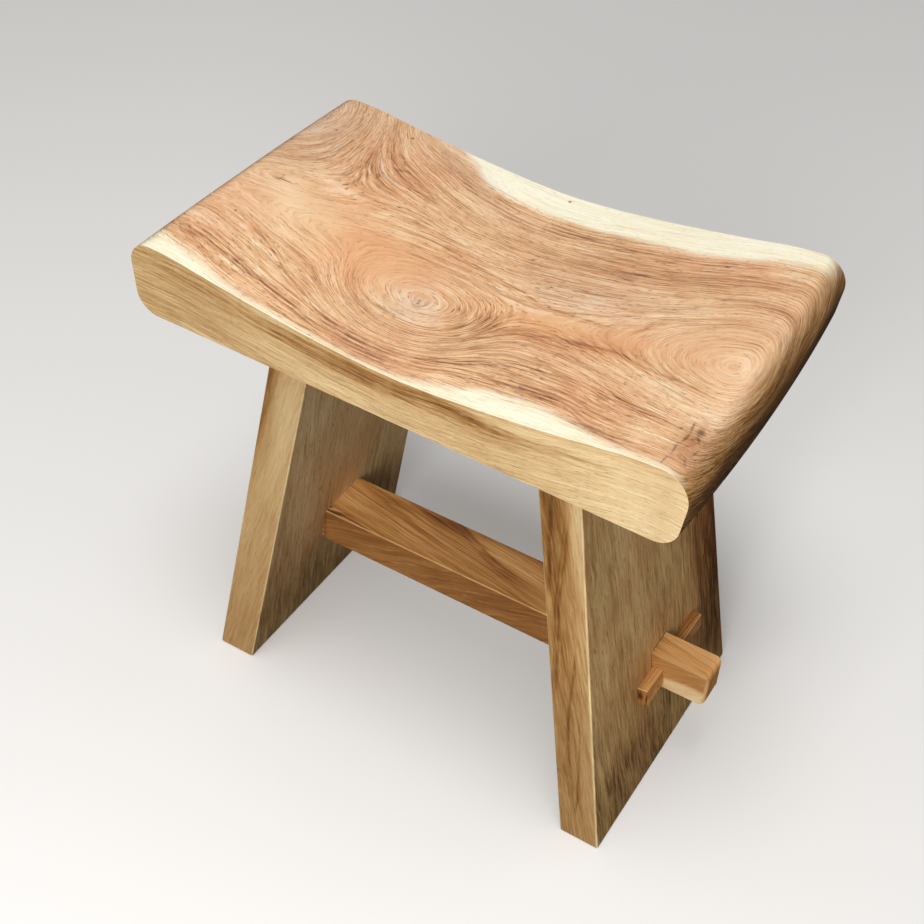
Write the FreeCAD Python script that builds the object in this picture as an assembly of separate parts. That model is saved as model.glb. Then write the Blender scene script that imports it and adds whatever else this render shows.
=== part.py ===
import FreeCAD, Part
import math
import os

# Wooden stool: a hollowed slab seat on two splayed slab legs, tied together by one stretcher.
# The stretcher's tenons pass right through the legs and are locked outside by tapered keys.
# The legs' twin stub tenons stand hidden in the seat. Seat and legs widen a little to the right.
# Millimetres and degrees. +X to the right along the seat, +Y to the back, +Z up.
# The origin is on the floor, midway between the feet.

# Whole stool
stool_height = 450.0  # floor to the crest at either end of the seat
foot_spread = 408.4  # outer edge of one foot to the outer edge of the other
splay_angle = 10.2  # lean of each leg from upright
joint_gap = 0.2  # glue line on each side of a tenon in its mortise
key_gap = 0.15  # sliding gap round a key
overrun = 20.0  # how far a cutting body reaches past what it cuts

# Seat
seat_thickness = 64.0  # slab at its crests, before the hollow
hollow_depth = 23.2  # crest down to the lowest line of the hollow
seat_left_reach = 238.5  # from the middle of the stool to the left end
seat_right_reach = 228.5
front_gain = 1.8  # both ends reach this much further at the front, and less at the back
left_half_depth = 134.6  # half of the seat from front to back at the left end
right_half_depth = 144.7
right_skew = 3.2  # the right end sits this much further back
left_bow = 2.0  # how far an end stands out at mid depth
right_bow = 5.5
left_nose_radius = 19.6  # round of an end's upper corner
right_nose_radius = 22.8
left_heel_radius = 18.8  # round of an end's lower corner
right_heel_radius = 19.1
left_undercut = 3.9  # lean of an end face, in under the nose
right_undercut = 6.7
seat_arris = 1.5
# Points of the hollow, from its lowest line to a crest: share of the run, share of the rise
hollow_shares = ((0.28, 0.16), (0.52, 0.42), (0.78, 0.78))

# Legs
leg_thickness = 35.7
left_foot_width = 239.5  # front to back on the floor
left_top_width = 197.5  # front to back under the seat
right_foot_width = 258.0
right_top_width = 207.4
leg_arris = 1.6
stub_length = 28.0  # twin stub tenons standing up into the seat
stub_width = 44.0
stub_thickness = 18.0
stub_spacing = 96.0  # middle to middle
stub_root = 6.0  # how deep a stub is rooted in its leg
stub_head_gap = 2.0  # glue space over a stub

# Stretcher
stretcher_top = 128.7  # height of its top face over the floor
stretcher_height = 36.6
stretcher_width = 54.4
stretcher_arris = 1.5
stretcher_reach = 235.0  # from the middle of the stool to the tip of a tenon
tenon_top_step = 2.0  # shoulder above the tenon
tenon_height = 34.0
tenon_width = 28.7
tip_round = 6.0  # round of a tenon's tip, seen from the front
tip_side_round = 4.5  # the same, seen from above

# Keys
key_thickness = 9.7  # square to the leg's face
key_front_height = 17.5
key_back_height = 12.5
key_front_reach = 43.5  # from the middle of the tenon to the key's thick end
key_back_reach = 64.0
key_level = 104.0  # height of the key's middle line over the floor
key_arris = 0.9
slot_recess = 3.0  # how far the slot runs in behind the leg's outer face

# Worked out from the sizes above
lean = math.tan(math.radians(splay_angle))
seat_underside = stool_height - seat_thickness
leg_run = leg_thickness / math.cos(math.radians(splay_angle))  # leg's thickness along the floor
tenon_top = stretcher_top - tenon_top_step
outward = FreeCAD.Vector(math.cos(math.radians(splay_angle)), 0, math.sin(math.radians(splay_angle)))
upslope = FreeCAD.Vector(-outward.z, 0, outward.x)
along = FreeCAD.Vector(0, 1, 0)


def point(x, y, z):
    return FreeCAD.Vector(x, y, z)


def polygon_face(corners):
    return Part.Face(Part.makePolygon(corners + corners[:1]))


def box(x_from, x_to, y_from, y_to, z_from, z_to):
    size = point(x_to - x_from, y_to - y_from, z_to - z_from)
    return Part.makeBox(size.x, size.y, size.z, point(x_from, y_from, z_from))


def mirrored(shape):
    return shape.mirror(FreeCAD.Vector(), FreeCAD.Vector(1, 0, 0))


def outer_face_x(height):
    # Outer face of the right leg at a height over the floor
    return foot_spread / 2 - height * lean


def inner_face_x(height):
    return outer_face_x(height) - leg_run


# Seat


def end_outline(side, reach, nose_radius, heel_radius, undercut_angle, y):
    # One end of the seat's section, from the crest round the nose and heel to the underside
    undercut = math.radians(undercut_angle)
    nose = point(reach - nose_radius, y, stool_height - nose_radius)
    heel_z = seat_underside + heel_radius
    heel_step = nose_radius - heel_radius + (heel_z - nose.z) * math.sin(undercut)
    heel = point(nose.x + heel_step / math.cos(undercut), y, heel_z)

    def on_round(centre, radius, angle):
        x = centre.x + radius * math.cos(angle)
        return point(side * x, y, centre.z + radius * math.sin(angle))

    quarter = math.pi / 2
    nose_middle = (quarter - undercut) / 2
    heel_middle = -(quarter + undercut) / 2
    crest = on_round(nose, nose_radius, quarter)
    nose_end = on_round(nose, nose_radius, -undercut)
    heel_start = on_round(heel, heel_radius, -undercut)
    heel_end = on_round(heel, heel_radius, -quarter)
    edges = [
        Part.Arc(crest, on_round(nose, nose_radius, nose_middle), nose_end).toShape(),
        Part.LineSegment(nose_end, heel_start).toShape(),
        Part.Arc(heel_start, on_round(heel, heel_radius, heel_middle), heel_end).toShape(),
    ]
    return edges, crest, heel_end


def hollow_curve(left_crest, right_crest):
    middle = (left_crest + right_crest) / 2 - point(0, 0, hollow_depth)
    lift = point(0, 0, hollow_depth)
    run = point((right_crest.x - left_crest.x) / 2, 0, 0)
    right = [middle + run * across + lift * up for across, up in hollow_shares]
    left = [middle - run * across + lift * up for across, up in reversed(hollow_shares)]
    curve = Part.BSplineCurve()
    curve.interpolate(
        Points=[left_crest] + left + [middle] + right + [right_crest],
        InitialTangent=FreeCAD.Vector(1, 0, 0),
        FinalTangent=FreeCAD.Vector(1, 0, 0),
    )
    return curve.toShape()


def seat_section(y, left_gain, right_gain):
    left, left_crest, left_heel = end_outline(
        -1, seat_left_reach + left_gain, left_nose_radius, left_heel_radius, left_undercut, y
    )
    right, right_crest, right_heel = end_outline(
        1, seat_right_reach + right_gain, right_nose_radius, right_heel_radius, right_undercut, y
    )
    underside = Part.LineSegment(right_heel, left_heel).toShape()
    top = hollow_curve(left_crest, right_crest)
    return Part.Wire([top] + right + [underside] + left[::-1])


def seat_plan():
    # The slab's front and back faces run a little apart towards the right
    length = seat_left_reach + seat_right_reach
    widening = (right_half_depth - left_half_depth) / length
    drift = right_skew / length
    past_left = -seat_left_reach - left_bow - front_gain - overrun
    past_right = seat_right_reach + right_bow + front_gain + overrun

    def corner(x, side):
        run = x + seat_left_reach
        half_depth = left_half_depth + widening * run
        return point(x, side * half_depth + drift * run, seat_underside - overrun)

    corners = [corner(past_left, -1), corner(past_right, -1), corner(past_right, 1), corner(past_left, 1)]
    return polygon_face(corners).extrude(point(0, 0, seat_thickness + 2 * overrun))


def looks_along_y(face):
    normal = face.normalAt(0, 0)
    return abs(normal.y) > abs(normal.x) + abs(normal.z)


def seat():
    reach_y = max(left_half_depth, right_half_depth) + abs(right_skew)
    sections = [
        seat_section(-reach_y, front_gain, front_gain),
        seat_section(0, left_bow, right_bow),
        seat_section(reach_y, -front_gain, -front_gain),
    ]
    slab = Part.makeLoft(sections, True, False).common(seat_plan()).Solids[0]
    arrises = [edge for face in slab.Faces if looks_along_y(face) for edge in face.Edges]
    slab = slab.makeFillet(seat_arris, arrises)
    for stub in stubs(joint_gap, stub_head_gap):
        slab = slab.cut(stub).cut(mirrored(stub))
    return slab


# Legs


def stubs(growth, head_growth):
    # Twin stub tenons of the right leg, or their mortises where grown
    middle_x = (outer_face_x(seat_underside) + inner_face_x(seat_underside)) / 2
    half_x = stub_thickness / 2 + growth
    half_y = stub_width / 2 + growth
    root = seat_underside - stub_root
    head = seat_underside + stub_length + head_growth
    made = []
    for middle_y in (-stub_spacing / 2, stub_spacing / 2):
        front = middle_y - half_y
        back = middle_y + half_y
        made.append(box(middle_x - half_x, middle_x + half_x, front, back, root, head))
    return made


def leg(foot_width, top_width):
    # The right leg; the left one is its mirror image at its own widths
    def rim(width, z):
        half = width / 2
        front = [point(inner_face_x(z), -half, z), point(outer_face_x(z), -half, z)]
        back = [point(outer_face_x(z), half, z), point(inner_face_x(z), half, z)]
        return Part.makePolygon(front + back + front[:1])

    slab = Part.makeLoft([rim(foot_width, 0), rim(top_width, seat_underside)], True, True)
    upright = [e for e in slab.Edges if e.BoundBox.ZLength > seat_underside / 2]
    foot = [e for e in slab.Edges if e.BoundBox.ZMax < seat_underside / 2]
    slab = slab.makeFillet(leg_arris, upright + foot)
    for stub in stubs(0, 0):
        slab = slab.fuse(stub)
    half_y = tenon_width / 2 + joint_gap
    mortise = box(
        inner_face_x(tenon_top) - overrun,
        outer_face_x(0) + overrun,
        -half_y,
        half_y,
        tenon_top - tenon_height - joint_gap,
        tenon_top + joint_gap,
    )
    return slab.cut(mortise).removeSplitter()


# Stretcher


def rounded_bar(half_length, half_across, radius, across, through):
    # A bar along X with rounded tips: the rounds turn towards across, and the bar reaches through
    # to either side of the plane that they lie in
    straight = half_length - radius
    inner = half_across - radius
    bend = radius * math.sin(math.pi / 4)

    def corner(x, a):
        return point(x, 0, 0) + across * a

    def tip(side):
        first_start = corner(side * straight, side * half_across)
        first_middle = corner(side * (straight + bend), side * (inner + bend))
        first_end = corner(side * half_length, side * inner)
        last_start = corner(side * half_length, -side * inner)
        last_middle = corner(side * (straight + bend), -side * (inner + bend))
        last_end = corner(side * straight, -side * half_across)
        return [
            Part.Arc(first_start, first_middle, first_end).toShape(),
            Part.LineSegment(first_end, last_start).toShape(),
            Part.Arc(last_start, last_middle, last_end).toShape(),
        ]

    bottom = Part.LineSegment(corner(straight, -half_across), corner(-straight, -half_across))
    top = Part.LineSegment(corner(-straight, half_across), corner(straight, half_across))
    outline = Part.Wire(tip(1) + [bottom.toShape()] + tip(-1) + [top.toShape()])
    return Part.Face(outline).extrude(through * 2).translated(-through)


def tenon_bar():
    # Both tenons are the ends of one bar that runs right through the stretcher
    up = FreeCAD.Vector(0, 0, 1)
    half_y = tenon_width / 2
    half_z = tenon_height / 2
    from_front = rounded_bar(stretcher_reach, half_z, tip_round, up, along * half_y)
    from_above = rounded_bar(stretcher_reach, half_y, tip_side_round, along, up * tenon_height)
    bar = from_front.common(from_above).Solids[0]
    return bar.translated(point(0, 0, tenon_top - half_z))


def between_legs():
    # The space between the legs' inner faces, which the shoulders fill from face to face
    low = -overrun
    high = stretcher_top + overrun
    half_y = stretcher_width / 2 + overrun
    corners = [
        point(-inner_face_x(low), -half_y, low),
        point(inner_face_x(low), -half_y, low),
        point(inner_face_x(high), -half_y, high),
        point(-inner_face_x(high), -half_y, high),
    ]
    return polygon_face(corners).extrude(along * (2 * half_y))


def key_bar(y_from, y_to, growth, from_face, thickness):
    # A tapered bar against the right leg's outer face, along Y, following the key's taper
    foot = point(outer_face_x(key_level), 0, key_level) + outward * from_face
    taper = (key_back_height - key_front_height) / (key_back_reach + key_front_reach)

    def half_height(y):
        return (key_front_height + taper * (y + key_front_reach)) / 2 + growth

    corners = [
        foot + along * y_from - upslope * half_height(y_from),
        foot + along * y_to - upslope * half_height(y_to),
        foot + along * y_to + upslope * half_height(y_to),
        foot + along * y_from + upslope * half_height(y_from),
    ]
    return polygon_face(corners).extrude(outward * thickness)


def stretcher():
    half_y = stretcher_width / 2
    body = box(-foot_spread, foot_spread, -half_y, half_y, stretcher_top - stretcher_height, stretcher_top)
    long_edges = [e for e in body.Edges if e.BoundBox.XLength > foot_spread]
    body = body.makeFillet(stretcher_arris, long_edges).common(between_legs())
    rail = body.fuse(tenon_bar()).removeSplitter()
    slot_half = tenon_width / 2 + overrun
    slot = key_bar(-slot_half, slot_half, key_gap, -slot_recess, slot_recess + key_thickness + 2 * key_gap)
    return rail.cut(slot).cut(mirrored(slot))


# Keys


def right_key():
    key = key_bar(-key_front_reach, key_back_reach, 0, key_gap, key_thickness)
    return key.makeFillet(key_arris, key.Edges)


def main():
    os.makedirs("parts", exist_ok=True)
    key = right_key()
    pieces = {
        "seat": seat(),
        "left_leg": mirrored(leg(left_foot_width, left_top_width)),
        "right_leg": leg(right_foot_width, right_top_width),
        "stretcher": stretcher(),
        "left_key": mirrored(key),
        "right_key": key,
    }
    for name, shape in pieces.items():
        size = shape.optimalBoundingBox()
        corners = [size.XMin, size.XMax, size.YMin, size.YMax, size.ZMin, size.ZMax]
        print(name, len(shape.Solids), "solid", round(shape.Volume), "mm3, valid:", shape.isValid())
        print("  from and to in x, y, z:", [round(value, 1) for value in corners])
        piece = shape.Solids[0] if len(shape.Solids) == 1 else shape
        piece.exportStep(f"parts/{name}.step")


main()
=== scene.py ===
import math

import bpy
from mathutils import Matrix, Vector


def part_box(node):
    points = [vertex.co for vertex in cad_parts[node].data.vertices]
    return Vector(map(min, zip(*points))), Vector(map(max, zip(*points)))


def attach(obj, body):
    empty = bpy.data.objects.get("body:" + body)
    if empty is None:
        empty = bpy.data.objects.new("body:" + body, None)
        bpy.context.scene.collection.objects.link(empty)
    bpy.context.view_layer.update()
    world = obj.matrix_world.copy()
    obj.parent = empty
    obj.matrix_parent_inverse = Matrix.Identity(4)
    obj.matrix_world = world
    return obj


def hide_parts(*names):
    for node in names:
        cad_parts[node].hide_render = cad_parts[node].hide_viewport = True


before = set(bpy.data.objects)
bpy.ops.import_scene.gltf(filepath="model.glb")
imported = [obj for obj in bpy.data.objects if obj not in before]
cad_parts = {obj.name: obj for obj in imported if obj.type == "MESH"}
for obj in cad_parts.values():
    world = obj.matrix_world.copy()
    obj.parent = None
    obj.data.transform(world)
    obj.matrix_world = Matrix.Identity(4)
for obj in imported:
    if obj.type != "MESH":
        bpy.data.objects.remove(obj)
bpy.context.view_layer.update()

# Wooden stool: hollowed slab seat, two splayed slab legs, and a stretcher held by keys
# Sizes are in millimetres and angles in degrees, and mm turns a size to metres
mm = 0.001
print("frame loaded:", ", ".join(sorted(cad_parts)))


# Small helpers


def linear(hexColour):
    # sRGB hex to the linear colour that the shaders take
    channels = [int(hexColour[start:start + 2], 16) / 255 for start in (1, 3, 5)]
    return [c / 12.92 if c <= 0.04045 else ((c + 0.055) / 1.055) ** 2.4 for c in channels] + [1]


def addNode(tree, kind, inputs=(), stops=(), **settings):
    # Adds one node and gives back its first output
    # inputs are its shown sockets in order, or by name: a value, or the output to link
    # stops are the places and colours of a colour ramp
    node = tree.nodes.new(kind)
    elements = node.color_ramp.elements if stops else ()
    while len(elements) < len(stops):
        elements.new(0.5)
    for element, (place, hexColour) in zip(elements, stops):
        element.position = place
        element.color = linear(hexColour)
    for name, value in settings.items():
        setattr(node, name, value)
    shown = [socket for socket in node.inputs if socket.enabled]
    named = inputs if isinstance(inputs, dict) else dict(enumerate(inputs))
    for key, value in named.items():
        socket = shown[key] if isinstance(key, int) else next(s for s in shown if s.name == key)
        if isinstance(value, bpy.types.NodeSocket):
            tree.links.new(value, socket)
        elif value is not None:
            socket.default_value = value
    return next((socket for socket in node.outputs if socket.enabled), None)


def drawCurve(tree, position, points, smooth=True):
    # A curve drawn through given points, which are (place, height), and the result is the height at a
    # place
    xs = [x for x, y in points]
    ys = [y for x, y in points]
    low, high = min(ys), max(ys)
    share = addNode(tree, "ShaderNodeMapRange", (position, xs[0], xs[-1], 0, 1))
    height = addNode(tree, "ShaderNodeFloatCurve", (1, share))
    mapping = height.node.mapping
    curve = mapping.curves[0]
    places = [((x - xs[0]) / (xs[-1] - xs[0]), (y - low) / (high - low)) for x, y in points]
    while len(curve.points) < len(places):
        curve.points.new(0.5, 0.5)
    for knot, place in zip(curve.points, places):
        knot.location = place
        knot.handle_type = "AUTO_CLAMPED" if smooth else "VECTOR"
    mapping.update()
    return addNode(tree, "ShaderNodeMapRange", (height, 0, 1, low, high))


# A hill is made of a round gradient that ends at three reaches, where nothing of it is left
hillEnd = 3
throughReach = 1e6


def addHills(tree, position, start, hills):
    # Adds smooth hills to a value: each is (x, y, reach in x, reach in y, turn, steepness, rise)
    # A hill goes right through the board, unless an eighth number gives its reach under the outer face
    total = start
    for x, y, reachX, reachY, turn, steepness, rise, *reachIn in hills:
        reachZ = reachIn[0] if reachIn else throughReach
        spot = addNode(tree, "ShaderNodeMapping", {
            "Vector": position,
            "Location": (x, y, 0),
            "Rotation": (0, 0, math.radians(turn)),
            "Scale": (hillEnd * reachX, hillEnd * reachY, hillEnd * reachZ),
        }, vector_type="TEXTURE")
        gradient = addNode(tree, "ShaderNodeTexGradient", (spot,), gradient_type="SPHERICAL")
        near = gradient.node.outputs["Fac"]
        away = addNode(tree, "ShaderNodeMath", (near, -hillEnd, hillEnd), operation="MULTIPLY_ADD")
        steep = addNode(tree, "ShaderNodeMath", (away, 2 * steepness), operation="POWER")
        fall = addNode(tree, "ShaderNodeMath", (steep, -1), operation="MULTIPLY")
        hill = addNode(tree, "ShaderNodeMath", (fall,), operation="EXPONENT")
        total = addNode(tree, "ShaderNodeMath", (hill, rise, total), operation="MULTIPLY_ADD")
    return total


strandWaver = {"length": 22, "range": (0.35, 0.55), "faintest": 0.5}


def addStreaks(tree, along, across, wobble, start, streaks):
    # Adds long drawn streaks to a value: each has its line and its strands (offset, width, rise)
    # A strand comes and goes along its line, down to its faintest share
    total = start
    for streak in streaks:
        line = drawCurve(tree, along, streak["points"])
        off = addNode(tree, "ShaderNodeMath", (across, line), operation="SUBTRACT")
        off = addNode(tree, "ShaderNodeMath", (off, wobble), operation="ADD")
        first, last = streak["points"][0][0], streak["points"][-1][0]
        opening = addNode(tree, "ShaderNodeMapRange", (along, first, first + streak["fade"], 0, 1))
        closing = addNode(tree, "ShaderNodeMapRange", (along, last - streak["fade"], last, 1, 0))
        window = addNode(tree, "ShaderNodeMath", (opening, closing), operation="MULTIPLY")
        for offset, width, rise in streak["strands"]:
            place = addNode(tree, "ShaderNodeMath", (off, offset), operation="SUBTRACT")
            place = addNode(tree, "ShaderNodeMath", (place, 1 / width), operation="MULTIPLY")
            squared = addNode(tree, "ShaderNodeMath", (place, place), operation="MULTIPLY")
            fall = addNode(tree, "ShaderNodeMath", (squared, -1), operation="MULTIPLY")
            band = addNode(tree, "ShaderNodeMath", (fall,), operation="EXPONENT")
            wavering = addNode(tree, "ShaderNodeTexNoise", {
                "W": along, "Scale": 1 / strandWaver["length"], "Detail": 2,
            }, noise_dimensions="1D")
            faintest = strandWaver["faintest"] * rise
            wavering = addNode(tree, "ShaderNodeMapRange",
                               (wavering, *strandWaver["range"], faintest, rise))
            band = addNode(tree, "ShaderNodeMath", (band, wavering), operation="MULTIPLY")
            total = addNode(tree, "ShaderNodeMath", (band, window, total), operation="MULTIPLY_ADD")
    return total


# Wood material

# Every board is rain tree, an acacia, sawn, sanded fine and rubbed with oil
# The oil soaks in and leaves hardly any film, so the eye gets deep brown figure under a low satin sheen,
# with open pores as short dark dashes, and cream sapwood where a board reaches the bark
# A pixel of the picture is 0.9 mm wide: real pores are 0.3 mm and fibres finer still,
# so the finest layers and marks are drawn 0.7 to 1.3 mm wide, as coarse as they need to show
woodFinish = {
    "depthInWidths": 14,  # how far a streak goes into the board
    "noiseRoughness": 0.6,
    "driftSize": 70,
    "driftRange": (0.4, 0.65),
    "sapPores": 0.3,  # share of the pores that shows in sapwood
    "knotAndShadeFigure": 0.5,  # how far the figure frays a knot or a painted shade line
    "knotAndShadeRange": (0.15, 0.8),
    "knotAndShadeShare": 0.8,
    "arrisRange": (0.07, 0.2),
    "rubSize": 25,
    "rubRange": (0.35, 0.6),
    "rubShares": (0.3, 0.8),
    "rubSmoothing": 0.1,
    "sheenTones": (0.2, 0.9),
    "paleDulling": 0.05,
    "darkSmoothing": 0.06,
    "poreDepth": 0.4,
    "poreStrength": 0.6,
    "specular": 0.25,  # half of a varnish's
}


def ringNoise(tree, rings, along, cross, width, length, detail, seed):
    # Noise that runs along the rings: narrow across them, long with them
    deep = min(length, woodFinish["depthInWidths"] * width)
    ringPlace = addNode(tree, "ShaderNodeMath", (rings, 1 / width, seed), operation="MULTIPLY_ADD")
    alongPlace = addNode(tree, "ShaderNodeMath", (along, 1 / length), operation="MULTIPLY")
    crossPlace = addNode(tree, "ShaderNodeMath", (cross, 1 / deep), operation="MULTIPLY")
    place = addNode(tree, "ShaderNodeCombineXYZ", (ringPlace, alongPlace, crossPlace))
    return addNode(tree, "ShaderNodeTexNoise", {
        "Vector": place, "Scale": 1, "Detail": detail, "Roughness": woodFinish["noiseRoughness"],
    })


def woodMaterial(look):
    # The growth rings are a field of distances on the board, and every line follows that field
    # layers are (width, length, detail, weight, relief)
    # marks are (width, length, faint, full, colour, strength, relief)
    material = bpy.data.materials.new(look["name"])
    material.use_nodes = True
    tree = material.node_tree
    tree.nodes.clear()
    coordinates = addNode(tree, "ShaderNodeTexCoord").node.outputs
    scaled = addNode(tree, "ShaderNodeVectorMath", {"Vector": coordinates["Object"], "Scale": 1 / mm},
                     operation="SCALE")
    board = addNode(tree, "ShaderNodeMapping", {"Vector": scaled, **look.get("board", {})})
    along, side, level = addNode(tree, "ShaderNodeSeparateXYZ", (board,)).node.outputs
    depth = level
    if "hollow" in look:
        topFace = drawCurve(tree, along, look["hollow"])
        depth = addNode(tree, "ShaderNodeMath", (topFace, level), operation="SUBTRACT")
        depth = addNode(tree, "ShaderNodeMath", (depth, 0), operation="MAXIMUM")

    # Wobble of the rings, large and small, so that no line is drawn with a ruler
    wobble = 0
    for size, height in look["wobble"]:
        loose = addNode(tree, "ShaderNodeTexNoise", {"Vector": board, "Scale": 1 / size, "Detail": 1.5})
        loose = addNode(tree, "ShaderNodeMath", (loose, 0.5), operation="SUBTRACT")
        wobble = addNode(tree, "ShaderNodeMath", (loose, 2 * height, wobble), operation="MULTIPLY_ADD")

    # Ring field: distance to the pith, plus the hills that knots and crotches make
    pithSide, pithDepth, sideTilt, depthTilt, depthGain = look["pith"]
    sideStep = addNode(tree, "ShaderNodeMath", (along, sideTilt, side), operation="MULTIPLY_ADD")
    sideStep = addNode(tree, "ShaderNodeMath", (sideStep, pithSide), operation="SUBTRACT")
    depthStep = addNode(tree, "ShaderNodeMath", (along, depthTilt, pithDepth), operation="MULTIPLY_ADD")
    if "hollow" not in look:
        depthStep = addNode(tree, "ShaderNodeMath", (depthStep, depth), operation="SUBTRACT")
    pair = addNode(tree, "ShaderNodeCombineXYZ", (sideStep, depthStep, 0))
    rings = addNode(tree, "ShaderNodeVectorMath", (pair,), operation="LENGTH").node.outputs["Value"]
    rings = addHills(tree, board, rings, look.get("hills", ()))
    if "hollow" in look:
        # On the ends the rings lie nearly level, so their lines run round the seat's nose
        endward = addNode(tree, "ShaderNodeVectorMath", (coordinates["Normal"], (1, 0, 0)),
                          operation="DOT_PRODUCT").node.outputs["Value"]
        endward = addNode(tree, "ShaderNodeMath", (endward,), operation="ABSOLUTE")
        gain = addNode(tree, "ShaderNodeMath", (endward, look["endGain"], -depthGain),
                       operation="MULTIPLY_ADD")
        rings = addNode(tree, "ShaderNodeMath", (depth, gain, rings), operation="MULTIPLY_ADD")
    rings = addNode(tree, "ShaderNodeMath", (rings, wobble), operation="ADD")
    cross = addNode(tree, "ShaderNodeMath", (side, depth), operation="ADD")

    # Layers of figure, from broad bands down to fibres, fainter where the wood is calm
    height = 0
    figure = 0
    for number, (width, length, detail, weight, relief) in enumerate(look["layers"]):
        noise = ringNoise(tree, rings, along, cross, width, length, detail, 17 * number)
        noise = addNode(tree, "ShaderNodeMath", (noise, 0.5), operation="SUBTRACT")
        figure = addNode(tree, "ShaderNodeMath", (noise, weight, figure), operation="MULTIPLY_ADD")
        if relief:
            height = addNode(tree, "ShaderNodeMath", (noise, -relief, height), operation="MULTIPLY_ADD")
    vivid = addHills(tree, board, 1, look.get("calm", ()))
    figure = addNode(tree, "ShaderNodeMath", (figure, vivid), operation="MULTIPLY")

    # Tone from pale 0 to dark 1
    tone = addHills(tree, board, look["tone"], look.get("toneHills", ()))
    tone = addStreaks(tree, along, side, wobble, tone, look.get("streaks", ()))
    tone = addNode(tree, "ShaderNodeMath", (tone, figure), operation="ADD")
    colour = addNode(tree, "ShaderNodeValToRGB", (tone,), look["heart"])

    # A slow drift of hue over the board
    drift = addNode(tree, "ShaderNodeTexNoise", {
        "Vector": board, "Scale": 1 / woodFinish["driftSize"], "Detail": 1,
    })
    drift = addNode(tree, "ShaderNodeMapRange",
                    (drift, *woodFinish["driftRange"], 0, look["driftShare"]))
    colour = addNode(tree, "ShaderNodeMix", (drift, colour, linear(look["drift"])), data_type="RGBA",
                     blend_type="MULTIPLY")

    # Sapwood lies outside drawn edges, and its pores hardly show
    showing = addNode(tree, "ShaderNodeMath", (vivid, 1), operation="MINIMUM")
    if "sapEdges" in look:
        sap = 0
        for edge in look["sapEdges"]:
            line = drawCurve(tree, along, edge["points"])
            past = addNode(tree, "ShaderNodeMath", (side, line), operation="SUBTRACT")
            past = addNode(tree, "ShaderNodeMath", (past, edge["direction"], wobble),
                           operation="MULTIPLY_ADD")
            soft = edge["softness"]
            inside = addNode(tree, "ShaderNodeMapRange", (past, -soft, soft, 0, 1),
                             interpolation_type="SMOOTHSTEP")
            sap = addNode(tree, "ShaderNodeMath", (inside, sap), operation="MAXIMUM")
        sapColour = addNode(tree, "ShaderNodeValToRGB", (tone,), look["sap"])
        colour = addNode(tree, "ShaderNodeMix", (sap, colour, sapColour), data_type="RGBA")
        hiding = addNode(tree, "ShaderNodeMapRange", (sap, 0, 1, 1, woodFinish["sapPores"]))
        showing = addNode(tree, "ShaderNodeMath", (showing, hiding), operation="MULTIPLY")

    # Faces that are cut through other wood have colours, hills and streaks of their own
    for face in look.get("faces", ()):
        facing = addNode(tree, "ShaderNodeVectorMath", (coordinates["Normal"], face["normal"]),
                         operation="DOT_PRODUCT").node.outputs["Value"]
        facing = addNode(tree, "ShaderNodeMath", (facing,), operation="ABSOLUTE")
        facing = addNode(tree, "ShaderNodeMapRange", (facing, *face["turn"], 0, 1),
                         interpolation_type="SMOOTHSTEP")
        first = {"along": along, "side": side}[face["first"]]
        place = addNode(tree, "ShaderNodeCombineXYZ", (first, level, 0))
        faceTone = addHills(tree, place, face["tone"], face.get("toneHills", ()))
        faceTone = addStreaks(tree, first, level, wobble, faceTone, face.get("streaks", ()))
        faceTone = addNode(tree, "ShaderNodeMath", (figure, face["contrast"], faceTone),
                           operation="MULTIPLY_ADD")
        faceColour = addNode(tree, "ShaderNodeValToRGB", (faceTone,), face["ramp"])
        colour = addNode(tree, "ShaderNodeMix", (facing, colour, faceColour), data_type="RGBA")
        showing = addNode(tree, "ShaderNodeMix", (facing, showing, face["pores"]))

    # Warm or grey patches
    for hexColour, blend, hills in look.get("tints", ()):
        share = addHills(tree, board, 0, hills)
        colour = addNode(tree, "ShaderNodeMix", (share, colour, linear(hexColour)), data_type="RGBA",
                         blend_type=blend)

    # Pores, dark lines and pale fibres: dashes along the rings
    for number, (width, length, low, high, hexColour, strength, relief) in enumerate(look["marks"]):
        noise = ringNoise(tree, rings, along, cross, width, length, 1, 300 + 23 * number)
        mask = addNode(tree, "ShaderNodeMapRange", (noise, low, high, 0, strength),
                       interpolation_type="SMOOTHSTEP")
        mask = addNode(tree, "ShaderNodeMath", (mask, showing), operation="MULTIPLY")
        colour = addNode(tree, "ShaderNodeMix", (mask, colour, linear(hexColour)), data_type="RGBA")
        if relief:
            height = addNode(tree, "ShaderNodeMath", (mask, -relief, height), operation="MULTIPLY_ADD")

    # Pin knots and scratches, and dark lines round the tenons that are partly painted shade
    if "knotsAndShadeLines" in look:
        share = addHills(tree, board, 0, look["knotsAndShadeLines"])
        share = addNode(tree, "ShaderNodeMath", (figure, woodFinish["knotAndShadeFigure"], share),
                        operation="MULTIPLY_ADD")
        share = addNode(tree, "ShaderNodeMapRange",
                        (share, *woodFinish["knotAndShadeRange"], 0, woodFinish["knotAndShadeShare"]))
        colour = addNode(tree, "ShaderNodeMix", (share, colour, linear(look["knotAndShadeColour"])),
                         data_type="RGBA")
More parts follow.
